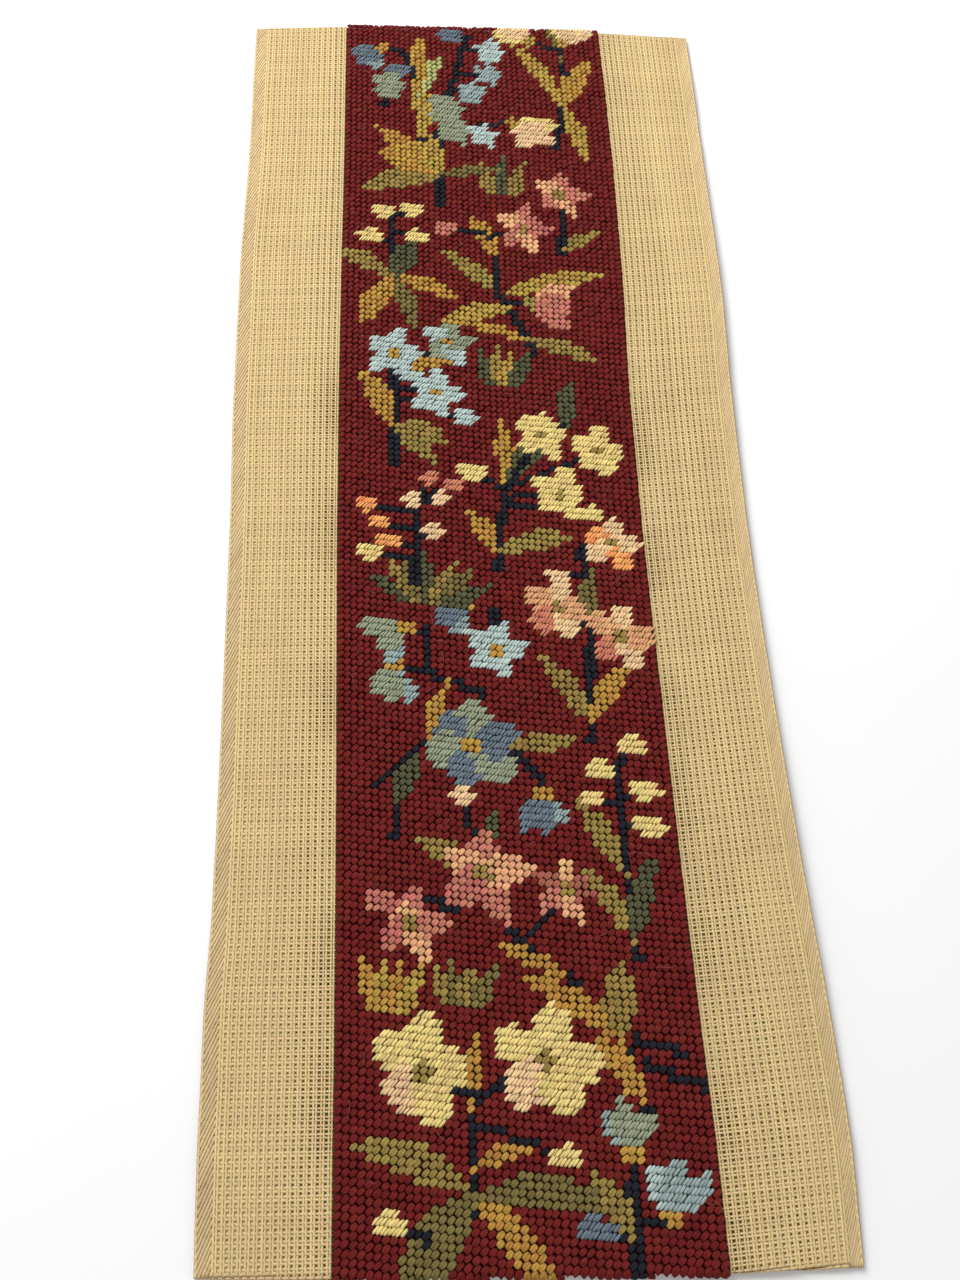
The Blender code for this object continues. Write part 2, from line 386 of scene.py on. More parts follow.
def strandGroup():
    # plied yarn or thread: painted shade, from a darker copy of its colour, in the grooves between the
    # plies and on the flanks and ends of each strand; streaky fibres, and a tone and a hue for each
    # stitch
    group, start, end = newGroup(
        "pliedStrand",
        [("Shade", colorKind), ("Painted Shade", colorKind), ("Tone", floatKind), ("Strand", vectorKind),
         ("Turns", floatKind), ("Plies", floatKind), ("Unevenness", floatKind), ("Painted Groove Shade", floatKind),
         ("Painted Flank Shade", floatKind), ("Painted End Shade", floatKind), ("Hue Drift", floatKind)],
        [("Color", colorKind), ("Height", floatKind), ("Roughness", floatKind)])
    parts = addNode(group, "ShaderNodeSeparateXYZ")
    feed(group, parts.inputs[0], start.outputs["Strand"])
    wound = mathNode(group, "ADD", mathNode(group, "MULTIPLY", parts.outputs[0], start.outputs["Turns"]),
                     mathNode(group, "MULTIPLY", parts.outputs[1], start.outputs["Plies"]))
    wound = mathNode(group, "ADD", wound, 0.75)   # puts a groove on top, between two strands
    wave = mathNode(group, "SINE", mathNode(group, "MULTIPLY", wound, 2 * math.pi))
    ridge = mapRange(group, wave, -1.0, 1.0, 0.0, 1.0)
    spread = addNode(group, "ShaderNodeCombineXYZ")
    feed(group, spread.inputs[0], mathNode(group, "MULTIPLY", parts.outputs[0], 2.5))
    feed(group, spread.inputs[1], mathNode(group, "ADD", mathNode(group, "MULTIPLY", wound, 5.0), 0.0))
    feed(group, spread.inputs[2], mathNode(group, "MULTIPLY", start.outputs["Tone"], 37.0))
    fibres = noiseNode(group, spread.outputs[0], 2.2, 3.0, 0.6)
    geometry = addNode(group, "ShaderNodeTexCoord")
    patches = noiseNode(group, geometry.outputs["Object"], 55.0, 2.0, 0.5)
    # painted shade: each strand's ends and flanks, and its ply grooves, are mixed towards the darker copy
    # of its colour
    fromMiddle = mathNode(group, "ABSOLUTE", mathNode(group, "SUBTRACT", parts.outputs[0], 0.5))
    fromTop = mathNode(group, "ABSOLUTE", mathNode(group, "SUBTRACT", parts.outputs[1], 0.5))
    ends = mathNode(group, "MULTIPLY", mapRange(group, fromMiddle, 0.18, 0.46, 0.0, 1.0),
                    start.outputs["Painted End Shade"])
    flanks = mathNode(group, "MULTIPLY", mapRange(group, fromTop, 0.13, 0.34, 0.0, 1.0),
                      start.outputs["Painted Flank Shade"])
    sunk = mathNode(group, "MAXIMUM", ends, flanks)
    grooved = mathNode(group, "MULTIPLY", mapRange(group, ridge, 0.0, 0.55, 1.0, 0.0),
                       start.outputs["Painted Groove Shade"])
    shaded = mixColor(group, mathNode(group, "MAXIMUM", sunk, grooved), start.outputs["Shade"],
                      start.outputs["Painted Shade"])
    toneShare = mathNode(group, "ADD", mathNode(group, "MULTIPLY", start.outputs["Tone"], 0.55),
                         mathNode(group, "MULTIPLY", patches, 0.45))
    lightness = mapRange(group, toneShare, 0.2, 0.8, 0.0, 1.0)
    dim = mathNode(group, "SUBTRACT", 1.0, start.outputs["Unevenness"])
    lit = mathNode(group, "ADD", 1.0, start.outputs["Unevenness"])
    value = mathNode(group, "MULTIPLY", mapRange(group, lightness, 0.0, 1.0, dim, lit),
                     mapRange(group, fibres, 0.3, 0.7, 0.84, 1.16))
    hue = addNode(group, "ShaderNodeHueSaturation")
    feed(group, hue.inputs["Color"], shaded)
    feed(group, hue.inputs["Value"], value)
    second = mathNode(group, "FRACT", mathNode(group, "MULTIPLY", start.outputs["Tone"], 7.31))
    drift = mathNode(group, "ADD", mathNode(group, "MULTIPLY", second, 0.5),
                     mathNode(group, "MULTIPLY", patches, 0.5))
    drift = mathNode(group, "MULTIPLY", mathNode(group, "SUBTRACT", drift, 0.5),
                     start.outputs["Hue Drift"])
    feed(group, hue.inputs["Hue"], mathNode(group, "ADD", drift, 0.5))
    height = mathNode(group, "ADD", ridge, mathNode(group, "MULTIPLY", fibres, 0.6))
    feed(group, end.inputs["Color"], hue.outputs[0])
    feed(group, end.inputs["Height"], height)
    feed(group, end.inputs["Roughness"], mapRange(group, fibres, 0.3, 0.7, 0.95, 0.75))
    return group


def weaveGroup():
    # double-thread canvas drawn from its counts: one unit across is a warp pair, one up a weft pair
    group, start, end = newGroup(
        "doubleWeave",
        [("Count", vectorKind), ("Warp", colorKind), ("Weft", colorKind), ("Hole Shade", colorKind)],
        [("Color", colorKind), ("Height", floatKind)])
    parts = addNode(group, "ShaderNodeSeparateXYZ")
    feed(group, parts.inputs[0], start.outputs["Count"])

    def threadMask(value, apart, half):
        middle = mathNode(group, "SUBTRACT", mathNode(group, "FRACT", value), 0.5)
        offset = mathNode(group, "SUBTRACT", mathNode(group, "ABSOLUTE", middle), apart)
        away = mathNode(group, "DIVIDE", mathNode(group, "ABSOLUTE", offset), half)
        return mathNode(group, "MAXIMUM", mathNode(group, "SUBTRACT", 1.0, away), 0.0)

    warp = threadMask(parts.outputs[0], 0.16, 0.17)
    weft = threadMask(parts.outputs[1], 0.22, 0.16)
    crossing = mathNode(group, "SINE", mathNode(group, "MULTIPLY", parts.outputs[1], 4 * math.pi))
    turned = mathNode(group, "SINE", mathNode(group, "MULTIPLY", parts.outputs[0], 4 * math.pi))
    over = mathNode(group, "MULTIPLY", mathNode(group, "MULTIPLY", crossing, turned), 0.25)
    warpHeight = mathNode(group, "MULTIPLY", warp, mathNode(group, "ADD", 0.9, over))
    weftHeight = mathNode(group, "MULTIPLY", weft, mathNode(group, "SUBTRACT", 0.8, over))
    isWarp = mathNode(group, "GREATER_THAN", warpHeight, weftHeight)
    threads = mixColor(group, isWarp, start.outputs["Weft"], start.outputs["Warp"])
    height = mathNode(group, "MAXIMUM", warpHeight, weftHeight)
    # painted shade where no thread covers: the holes between the threads
    color = mixColor(group, mapRange(group, height, 0.03, 0.3, 0.0, 1.0), start.outputs["Hole Shade"], threads)
    feed(group, end.inputs["Color"], color)
    feed(group, end.inputs["Height"], height)
    return group


strandTree = strandGroup()
weaveTree = weaveGroup()


def newMaterial(name, sheen, sheenTint=(255, 255, 255)):
    material = bpy.data.materials.new(name)
    material.use_nodes = True
    shader = material.node_tree.nodes["Principled BSDF"]
    shader.inputs["Sheen Weight"].default_value = sheen
    shader.inputs["Sheen Roughness"].default_value = 0.5
    shader.inputs["Sheen Tint"].default_value = linear(*sheenTint)
    shader.inputs["Specular IOR Level"].default_value = 0.08
    return material, material.node_tree, shader


def strandMaterial(name, shade, paintedShadeColor, yarnKind):
    # yarnKind holds the plies, the unevenness, the relief, the sheen and how much painted shade a kind of
    # yarn has
    material, tree, shader = newMaterial(name, yarnKind["sheen"], shade)
    yarn = addNode(tree, "ShaderNodeGroup", node_tree=strandTree)
    toneLayer = addNode(tree, "ShaderNodeAttribute", attribute_name="tone")
    strandMap = addNode(tree, "ShaderNodeUVMap", uv_map="strand")
    feed(tree, yarn.inputs["Shade"], linear(*shade))
    # the darker copy of the colour, painted as shade into ply grooves, flanks and ends
    feed(tree, yarn.inputs["Painted Shade"], linear(*paintedShadeColor))
    feed(tree, yarn.inputs["Tone"], toneLayer.outputs["Fac"])
    feed(tree, yarn.inputs["Strand"], strandMap.outputs[0])
    for label in ("Turns", "Plies", "Unevenness", "Painted Groove Shade", "Painted Flank Shade", "Painted End Shade", "Hue Drift"):
        feed(tree, yarn.inputs[label], yarnKind[label])
    relief = addNode(tree, "ShaderNodeBump")
    relief.inputs["Strength"].default_value = 0.6
    relief.inputs["Distance"].default_value = yarnKind["relief"]
    feed(tree, relief.inputs["Height"], yarn.outputs["Height"])
    feed(tree, shader.inputs["Base Color"], yarn.outputs["Color"])
    feed(tree, shader.inputs["Roughness"], yarn.outputs["Roughness"])
    feed(tree, shader.inputs["Normal"], relief.outputs[0])
    return material


# bare canvas: the cloth itself, and its threads standing on it
canvas = {
    # each thread's colour, and a darker copy of it painted as shade on its flanks and in its ply grooves
    "warpColor": (207, 186, 132), "warpPaintedShade": (170, 146, 96),
    "weftColor": (200, 173, 131), "weftPaintedShade": (162, 134, 96),
    # painted shade for the holes in the mesh, darkest beside the band
    "holeShade": (66, 42, 22), "holeShadeOuter": (146, 114, 70),   # beside the band, and further out
    "closedColor": (180, 154, 109),   # where the mesh is closed up
    # painted shade under the band: the wool's red, darkened, for what shows between the stitches
    "woolGapShade": (84, 24, 24),
    # where the closing up starts, in columns, for some rows from near to far
    "shutRows": (0, 40, 75, 120, 160, 200),
    "leftShutFrom": (-4.0, -4.0, -3.5, -3.0, -1.5, -0.5),
    "rightShutFrom": (58.0, 55.0, 59.5, 59.0, 54.0, 50.0),
    "clothTop": 0.00005, "clothBottom": -0.00030, "hemFace": 0.00042,
    "stepsAcross": 44, "stepsAlong": 170, "stepsBend": 8, "stepsHem": 6,
    "warpApart": 0.185, "weftApart": 0.210,
    "warpHalf": 0.00049, "weftHalf": 0.00048, "threadHeight": 0.00024,
    "warpSwell": 0.10, "weftSwell": 0.06,   # how much wider a thread is where it lies on top
    "shutSwell": 0.55, "shutDrop": 0.00009,   # wefts widen and lie lower where the mesh is closed up
    "openThin": 0.26,    # and how much thinner all threads are in the open patches beside the band
    "crimp": 0.00009, "warpLift": 0.00032, "weftLift": 0.00027,
    "foldReach": 1.9,   # how far threads reach round a fold, in bend radii
}

# cotton thread: how much painted shade darkens its ply grooves and flanks; none at its ends
cotton = {"Turns": 300.0, "Plies": 2.0, "Unevenness": 0.08, "Painted Groove Shade": 0.25, "Painted Flank Shade": 0.55, "Painted End Shade": 0.0,
          "Hue Drift": 0.02, "relief": 0.00006, "sheen": 0.05}
weftCotton = {**cotton, "Turns": 24.0, "Unevenness": 0.12}


def clothMaterial():
    material, tree, shader = newMaterial("canvasCloth", 0.05, canvas["warpColor"])
    countMap = addNode(tree, "ShaderNodeUVMap", uv_map="count")
    parts = addNode(tree, "ShaderNodeSeparateXYZ")
    feed(tree, parts.inputs[0], countMap.outputs[0])
    half = mesh["bandColumns"] / 2
    # painted shade for the holes: darkest beside the band, lighter further out and in patches
    fromBand = mathNode(tree, "ABSOLUTE", mathNode(tree, "SUBTRACT", parts.outputs[0], half))
    away = mapRange(tree, fromBand, half + 0.6, half + 3.5, 0.25, 1.0)
    patches = mapRange(tree, noiseNode(tree, countMap.outputs[0], 0.16, 3.0, 0.6), 0.38, 0.60, 0.0, 1.0)
    hole = mixColor(tree, mathNode(tree, "MULTIPLY", away, patches), linear(*canvas["holeShade"]),
                    linear(*canvas["holeShadeOuter"]))
    weave = addNode(tree, "ShaderNodeGroup", node_tree=weaveTree)
    feed(tree, weave.inputs["Count"], countMap.outputs[0])
    feed(tree, weave.inputs["Warp"], linear(*canvas["warpColor"]))
    feed(tree, weave.inputs["Weft"], linear(*canvas["weftColor"]))
    feed(tree, weave.inputs["Hole Shade"], linear(*canvas["holeShade"]))
    closed = addNode(tree, "ShaderNodeAttribute", attribute_name="closed")
    wool = addNode(tree, "ShaderNodeAttribute", attribute_name="woolGapShade")
    bare = addNode(tree, "ShaderNodeAttribute", attribute_name="bare")
    # the sheet under the threads: painted hole shade, the cloth colour where the mesh is closed up, and
    # under the band the wool's red darkened as painted shade
    floor = mixColor(tree, closed.outputs["Fac"], hole, linear(*canvas["closedColor"]))
    face = mixColor(tree, bare.outputs["Fac"], floor, weave.outputs["Color"])
    color = mixColor(tree, wool.outputs["Fac"], face, linear(*canvas["woolGapShade"]))
    feed(tree, shader.inputs["Base Color"], color)
    shader.inputs["Roughness"].default_value = 0.9
    relief = addNode(tree, "ShaderNodeBump")
    relief.inputs["Strength"].default_value = 0.8
    relief.inputs["Distance"].default_value = 0.0004
    feed(tree, relief.inputs["Height"],
         mathNode(tree, "MULTIPLY", weave.outputs["Height"], bare.outputs["Fac"]))
    feed(tree, shader.inputs["Normal"], relief.outputs[0])
    return material


def closedShare(column, row):
    # 1 where the mesh is drawn shut: towards both selvedges, and over most of the far end
    leftFrom = np.interp(row, canvas["shutRows"], canvas["leftShutFrom"])
    rightFrom = np.interp(row, canvas["shutRows"], canvas["rightShutFrom"])
    return np.maximum(ease((leftFrom - column) / 6.0), ease((column - rightFrom) / 4.0))


def openShare(column, row):
    # 1 in the patches beside the band where the stitching pulled the mesh open
    fromBand = np.abs(column - mesh["bandColumns"] / 2) - mesh["bandColumns"] / 2
    patches = ease(0.4 + 2.2 * wobble(column * 0.3, row, 7.0, 41))
    return patches * ease(1.3 - fromBand / 4.0) * ease((150 - row) / 30)


def makeCloth():
    # one closed sheet with both ends rolled under: rows of (y, face lift) from hem to hem
    across = np.linspace(-mesh["leftColumns"], mesh["bandColumns"] + mesh["rightColumns"],
                         canvas["stepsAcross"])
    share = np.where(across < 0, across / mesh["leftColumns"],
                     np.where(across > mesh["bandColumns"],
                              (across - mesh["bandColumns"]) / mesh["rightColumns"], 0))
    inBand = np.clip(across, 0, mesh["bandColumns"]) / mesh["bandColumns"]

    def acrossAt(along):
        bandLeft, bandRight = sectionAt("bandLeft", along), sectionAt("bandRight", along)
        x = bandLeft + (bandRight - bandLeft) * inBand
        x = x + np.where(across < 0, (bandLeft - sectionAt("leftEdge", along)) * share, 0)
        return x + np.where(across > mesh["bandColumns"],
                            (sectionAt("rightEdge", along) - bandRight) * share, 0)

    rows = []
    for end, outward in (("nearFold", -1), ("farFold", 1)):
        along = 0.0 if end == "nearFold" else strip["length"]
        x = acrossAt(along)
        radius = bendRadius(x, along)
        bend = [math.pi * k / canvas["stepsBend"] for k in range(1, canvas["stepsBend"] + 1)]
        hem = [strip["hem"] * k / canvas["stepsHem"] for k in range(1, canvas["stepsHem"] + 1)]
        side = [(x, foldAt(end, x) + outward * radius * turn, turn / math.pi) for turn in bend]
        side += [(x, foldAt(end, x) + outward * (radius * math.pi + far), 1.0) for far in hem]
        rows.append(side)
    middle = []
    for along in np.linspace(0, strip["length"], canvas["stepsAlong"]):
        x = acrossAt(along)
        near, far = foldAt("nearFold", x), foldAt("farFold", x)
        middle.append((x, near + (far - near) * along / strip["length"], 0.0))
    order = rows[0][::-1] + middle + rows[1]
    x = np.array([row[0] for row in order])
    y = np.array([row[1] for row in order])
    under = np.array([row[2] for row in order])[:, None] + 0 * x
    top = canvas["clothTop"] + (canvas["hemFace"] - canvas["clothTop"]) * under
    bottom = canvas["clothBottom"] + 0 * under
    faces = np.concatenate([place(x, y, top).reshape(-1, 3), place(x, y, bottom).reshape(-1, 3)])
    rowsMade, wide = x.shape
    low = rowsMade * wide
    k, j = np.meshgrid(np.arange(rowsMade - 1), np.arange(wide - 1), indexing="ij")
    a = (k * wide + j).ravel()
    upper = np.stack([a, a + 1, a + 1 + wide, a + wide], 1)
    lower = upper[:, ::-1] + low
    edges = []
    for start, step, count in ((0, 1, wide - 1), (wide - 1, wide, rowsMade - 1)):
        b = start + step * np.arange(count)
        edges.append(np.stack([b, b + low, b + step + low, b + step], 1))
    for start, step, count in ((low - wide, 1, wide - 1), (0, wide, rowsMade - 1)):
        b = start + step * np.arange(count)
        edges.append(np.stack([b, b + step, b + step + low, b + low], 1))
    allFaces = np.concatenate([upper, lower] + edges)
    data = bpy.data.meshes.new("canvas_cloth")
    data.from_pydata(faces.tolist(), [], allFaces.tolist())
    data.shade_smooth()
    column = np.tile(np.broadcast_to(across, x.shape).ravel(), 2)
    row = np.tile((y / mesh["rowPitch"]).ravel(), 2)
    isTop = np.arange(2 * low) < low
    hidden = np.tile(under.ravel(), 2)
    inWool = (column > 0.2) & (column < mesh["bandColumns"] - 0.2) & (hidden < 0.6)
    # masks for the cloth's colours: closed-up mesh, the painted wool shade under the band, and the
    # painted weave of hems and underside
    layers = {
        "closed": closedShare(column, row),
        "woolGapShade": inWool.astype(float),
        "bare": np.where(isTop, ease((hidden - 0.5) * 4), 1.0),
    }
    for name, values in layers.items():
        layer = data.attributes.new(name, "FLOAT", "POINT")
        layer.data.foreach_set("value", values.astype(np.float32))
    corners = np.zeros(len(data.loops), np.int32)
    data.loops.foreach_get("vertex_index", corners)
    count = np.stack([column, row], 1)[corners]
    data.uv_layers.new(name="count").data.foreach_set("uv", count.astype(np.float32).ravel())
    data.materials.append(clothMaterial())
    piece = bpy.data.objects.new("canvas_cloth", data)
    bpy.context.scene.collection.objects.link(piece)
    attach(piece, "root")
    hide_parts("canvas")
    return piece


def threadRows():
    # the rows at which each weft thread lies, two to a row
    rows = np.arange(mesh["lowRow"], mesh["highRow"])[:, None] + 0.5
    return (rows + np.array([-canvas["weftApart"], canvas["weftApart"]])).ravel()


def onCloth(x, y):
    reach = canvas["foldReach"] * bendRadius(x, alongAt(x, y))
    return (y > foldAt("nearFold", x) - reach) & (y < foldAt("farFold", x) + reach)


def makeWarps(name, firstColumn, lastColumn, material):
    batch = newBatch()
    random = np.random.default_rng(11)
    rows = threadRows()
    for pair in range(firstColumn, lastColumn):
        for thread in (0, 1):
            column = pair + 0.5 + (-canvas["warpApart"], canvas["warpApart"])[thread]
            column = column + 0.035 * wobble(pair * 3.1, rows, 9.0, 21)
            x, y = threadPlace(column, rows)
            use = onCloth(x, y)
            x, y = x[use], y[use]
            over = np.where((np.arange(len(rows)) + thread) % 2 == 0, 1.0, -1.0)[use]
            lift = canvas["warpLift"] + canvas["crimp"] * over
            half = canvas["warpHalf"] * (1 + 0.05 * random.standard_normal(len(x)))
            half = half * (1 + canvas["warpSwell"] * over
                           - canvas["openThin"] * openShare(pair + 0.5, rows[use]))
            addTubes(batch, x[None], y[None], lift[None], half[None, 1:-1], canvas["threadHeight"],
                     4, random.uniform(0, 1, 1))
    return makePiece(name, batch, material, 0.05)


def makeWefts(name, firstColumn, lastColumn, material):
    batch = newBatch()
    random = np.random.default_rng(12)
    pairs = np.arange(firstColumn, lastColumn)[:, None] + 0.5
    columns = (pairs + np.array([-canvas["warpApart"], canvas["warpApart"]])).ravel()
    columns = np.concatenate([[firstColumn - 0.1], columns, [lastColumn + 0.1]])
    for k, row in enumerate(threadRows()):
        x, y = threadPlace(columns, row + 0.05 * wobble(columns * 0.6, row, 5.0, 22))
        use = onCloth(x, y)
        if use.sum() < 6:
            continue
        over = np.where((np.arange(len(columns)) + k) % 2 == 0, 1.0, -1.0)[use]
        x, y = x[use], y[use]
        shut, opened = closedShare(columns[use], row), openShare(columns[use], row)
        lift = canvas["weftLift"] + canvas["crimp"] * over - canvas["shutDrop"] * shut
        half = canvas["weftHalf"] * (1 + 0.06 * random.standard_normal(len(x)))
        half = half * (1 + canvas["weftSwell"] * over + canvas["shutSwell"] * shut
                       - canvas["openThin"] * opened)
        addTubes(batch, x[None], y[None], lift[None], half[None, 1:-1], canvas["threadHeight"],
                 4, random.uniform(0, 1, 1))
    return makePiece(name, batch, material, 0.3)


# the cords' cotton colour, and a darker copy painted as shade on their flanks and in their ply grooves
selvedge = {"cordRows": 0.95, "climb": 4.5, "cordHalf": 0.00060, "cordHeight": 0.00022, "lift": 0.00024,
            "edgeHalf": 0.00050, "edgeInset": 0.22, "color": (208, 183, 138), "paintedShade": (172, 145, 98)}


def makeSelvedge(name, leftSide, rightSide, outer, material):
    # a dense twill edge: cords that climb steeply across it, and a beaded cord along the very edge
    batch = newBatch()
    random = np.random.default_rng(13)
    share = np.linspace(0, 1, 16)
    starts = np.arange(mesh["lowRow"] - selvedge["climb"], mesh["highRow"], selvedge["cordRows"])
    for start in starts:
        rows = start + selvedge["climb"] * share
        column = leftSide + (rightSide - leftSide) * share + 0.05 * wobble(share * 2, start, 3.0, 24)
        x, y = threadPlace(column, rows)
        use = onCloth(x, y)
        if use.sum() < 4:
            continue
        x, y = x[use], y[use]
        half = selvedge["cordHalf"] * (1 + 0.10 * random.standard_normal(len(x)))
        lift = np.full(len(x), selvedge["lift"])
        addTubes(batch, x[None], y[None], lift[None], half[None, 1:-1], selvedge["cordHeight"],
                 4, random.uniform(0, 1, 1))
    rows = np.arange(mesh["lowRow"], mesh["highRow"], 0.25)
    inset = selvedge["edgeInset"] + 0.05 * wobble(0.0, rows, 1.6, 25)
    x, y = threadPlace(outer + np.sign(mesh["bandColumns"] / 2 - outer) * inset, rows)
    use = onCloth(x, y)
    bead = np.where(np.arange(len(rows)) % 4 < 2, 1.0, -1.0)[use]
    x, y = x[use], y[use]
    half = selvedge["edgeHalf"] * (1 + 0.20 * bead + 0.06 * random.standard_normal(len(x)))
    addTubes(batch, x[None], y[None], (selvedge["lift"] + 0.00006 * bead)[None], half[None, 1:-1],
             canvas["threadHeight"], 4, random.uniform(0, 1, 1))
    return makePiece(name, batch, material, 0.03)


cloth = makeCloth()
warpMaterial = strandMaterial("warpCotton", canvas["warpColor"], canvas["warpPaintedShade"], cotton)
weftMaterial = strandMaterial("weftCotton", canvas["weftColor"], canvas["weftPaintedShade"], weftCotton)
selvedgeMaterial = strandMaterial("selvedgeCotton", selvedge["color"], selvedge["paintedShade"], cotton)
leftInner, rightInner = -15, 63
leftOuter, rightOuter = -mesh["leftColumns"], mesh["bandColumns"] + mesh["rightColumns"]
canvasPieces = [
    makeWarps("warp_left", leftInner, 0, warpMaterial),
    makeWarps("warp_right", mesh["bandColumns"], rightInner, warpMaterial),
    makeWefts("weft_left", leftInner, 0, weftMaterial),
    makeWefts("weft_right", mesh["bandColumns"], rightInner, weftMaterial),
    makeSelvedge("selvedge_left", leftOuter + 0.2, leftInner + 0.3, leftOuter, selvedgeMaterial),
    makeSelvedge("selvedge_right", rightInner - 0.3, rightOuter - 0.2, rightOuter, selvedgeMaterial),
]
print("bare canvas: cloth, warps, wefts and selvedges made")

# the wool shades, each with its own colour and a darker copy of it, painted as shade in the ply grooves
# and on the flanks and ends of its stitches
shades = {
    "burgundy": ((106, 32, 29), (72, 20, 20)),
    "night": ((32, 33, 41), (16, 17, 22)),
    "olive": ((146, 124, 66), (86, 70, 35)),
    "darkOlive": ((118, 104, 60), (67, 59, 33)),
    "darkGreen": ((84, 84, 58), (44, 45, 32)),
    "lightGreen": ((166, 167, 104), (103, 103, 61)),
    "ochre": ((176, 134, 62), (110, 78, 33)),
    "gold": ((172, 142, 68), (106, 85, 39)),
    "cream": ((226, 204, 134), (160, 134, 76)),
    "palePeach": ((226, 194, 150), (169, 131, 93)),
    "orange": ((232, 160, 100), (174, 104, 58)),
    "peach": ((216, 164, 120), (155, 105, 73)),
    "salmon": ((200, 128, 102), (139, 78, 60)),
    "rose": ((186, 116, 98), (125, 66, 57)),
    "deepRose": ((160, 92, 78), (102, 50, 45)),
    "paleBlue": ((180, 194, 188), (114, 135, 135)),
    "mistBlue": ((150, 166, 162), (93, 109, 110)),
    "greyBlue": ((108, 120, 130), (61, 72, 82)),
    "greyGreen": ((150, 156, 130), (93, 100, 81)),
}
shadeNames = list(shades)
chartRows = mesh["highRow"] - mesh["lowRow"]
chart = np.zeros((chartRows, mesh["bandColumns"]), int)
longStroke = np.zeros((chartRows, mesh["bandColumns"]), bool)
rowMiddles = (np.arange(mesh["lowRow"], mesh["highRow"]) + 0.5)[:, None] + 0.0 * chart
columnMiddles = (np.arange(mesh["bandColumns"]) + 0.5)[None] + 0.0 * chart
longShades = {"cream", "palePeach", "orange", "salmon", "paleBlue", "mistBlue", "greyBlue", "greyGreen"}


def paint(area, shade, strokes=None):
    chart[area] = shadeNames.index(shade)
    longStroke[area] = shade in longShades if strokes is None else strokes


def leaf(base, tip, width, shade, bend=0.0, fullAt=0.5, strokes=False):
    # a pointed leaf from base to tip; bend bows it to its left by that share of its length
    alongX, alongY = tip[0] - base[0], tip[1] - base[1]
    size = math.hypot(alongX, alongY)
    fromX, fromY = columnMiddles - base[0], rowMiddles - base[1]
    share = (fromX * alongX + fromY * alongY) / size ** 2
    side = (fromY * alongX - fromX * alongY) / size
    side = side - bend * size * np.sin(math.pi * np.clip(share, 0, 1))
    inside = np.clip(share, 0, 1) ** (math.log(0.5) / math.log(fullAt))
    half = np.maximum(width / 2 * np.sin(math.pi * inside) ** 0.75, 0.45)
    paint((share > -0.02) & (share < 1.02) & (np.abs(side) < half), shade, strokes)


def stem(points, thickness=1.3, shade="night"):
    area = np.zeros(chart.shape, bool)
    for (x0, y0), (x1, y1) in zip(points, points[1:]):
        lengthSquared = max((x1 - x0) ** 2 + (y1 - y0) ** 2, 1e-6)
        share = ((columnMiddles - x0) * (x1 - x0) + (rowMiddles - y0) * (y1 - y0)) / lengthSquared
        share = np.clip(share, 0, 1)
        awayX = columnMiddles - x0 - share * (x1 - x0)
        awayY = rowMiddles - y0 - share * (y1 - y0)
        area |= np.hypot(awayX, awayY) < thickness / 2
    paint(area, shade, False)


def oval(middle, wide, tall, shade, turn=0.0, strokes=None):
    c, s = math.cos(math.radians(turn)), math.sin(math.radians(turn))
    dx, dy = columnMiddles - middle[0], rowMiddles - middle[1]
    across, up = (dx * c + dy * s) / (wide / 2), (dy * c - dx * s) / (tall / 2)
    paint(across ** 2 + up ** 2 < 1, shade, strokes)


